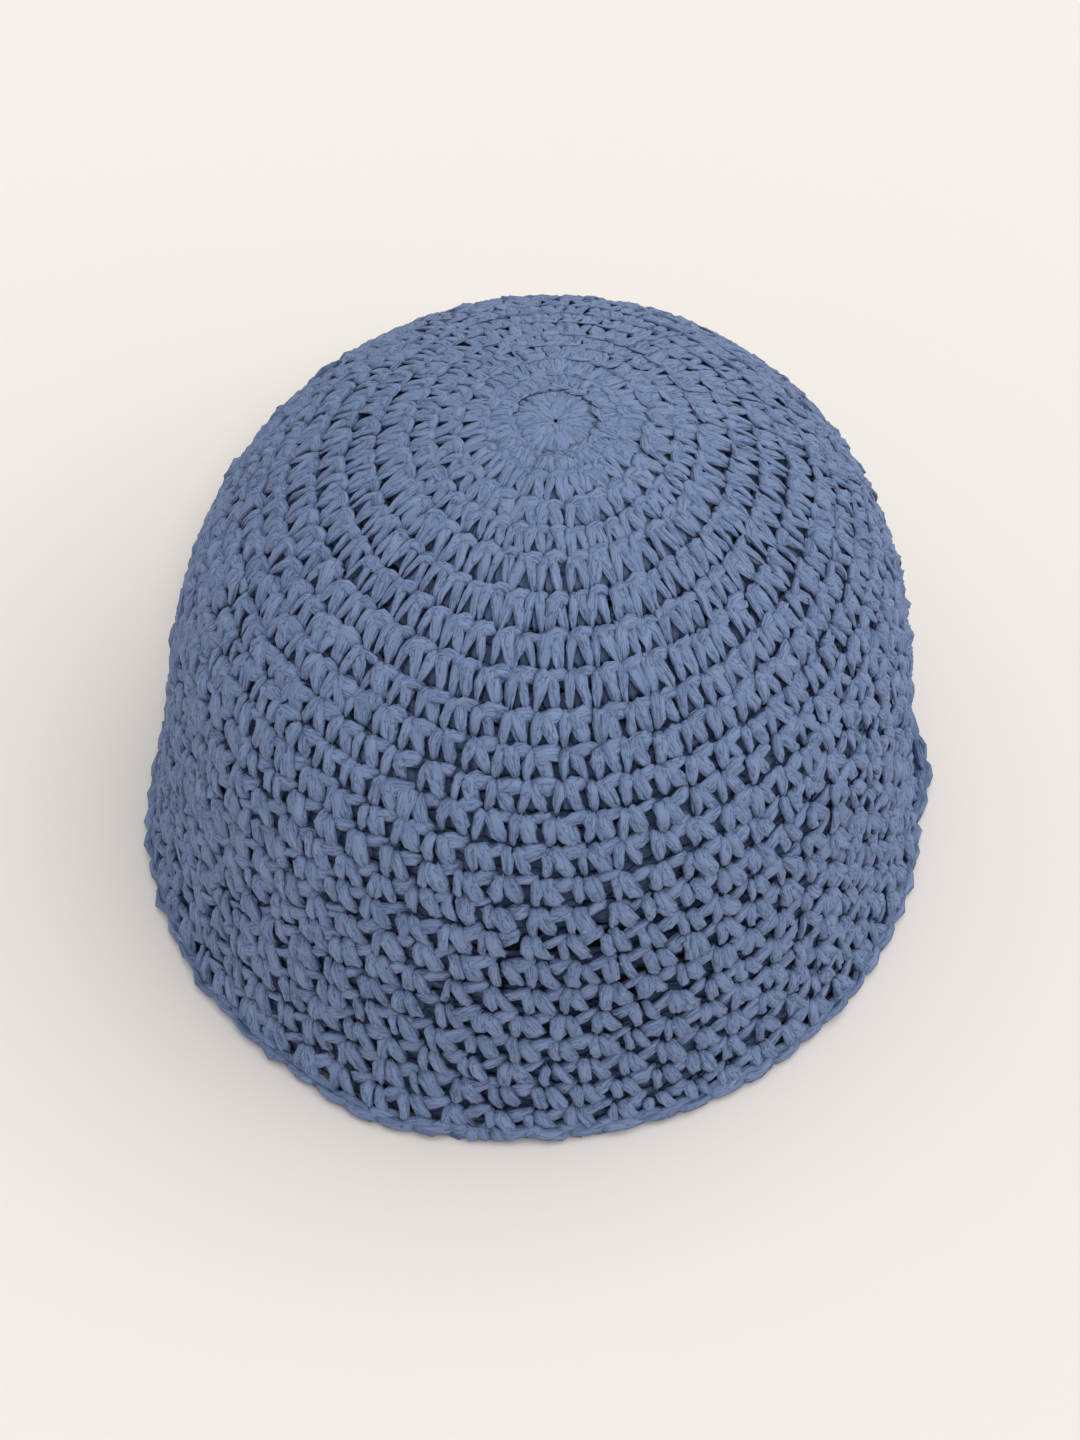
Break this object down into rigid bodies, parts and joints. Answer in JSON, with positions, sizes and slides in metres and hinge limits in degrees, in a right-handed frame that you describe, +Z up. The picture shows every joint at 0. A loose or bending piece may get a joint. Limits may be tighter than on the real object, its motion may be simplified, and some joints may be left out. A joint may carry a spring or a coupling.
{
  "type": "crocheted paper baseball cap",
  "caption": "Soft domed cap crocheted from paper yarn, open below, with a short curved crocheted peak and a corded border.",
  "frame": {"origin": "middle of the base, on the surface that the cap lies on", "axes": "+Z up through the crown, the peak points towards -Y and the back of the cap towards +Y, +X is the wearer's left"},
  "size_m": [0.189, 0.261, 0.125],
  "materials": {
    "paper_yarn": "matt blue crocheted paper ribbon",
    "border_yarn": "matt blue paper ribbon, chained cord"
  },
  "bodies": {
    "root": {"crown": "paper_yarn", "peak": "paper_yarn", "rim_border": "border_yarn", "peak_border": "border_yarn"}
  },
  "joints": []
}
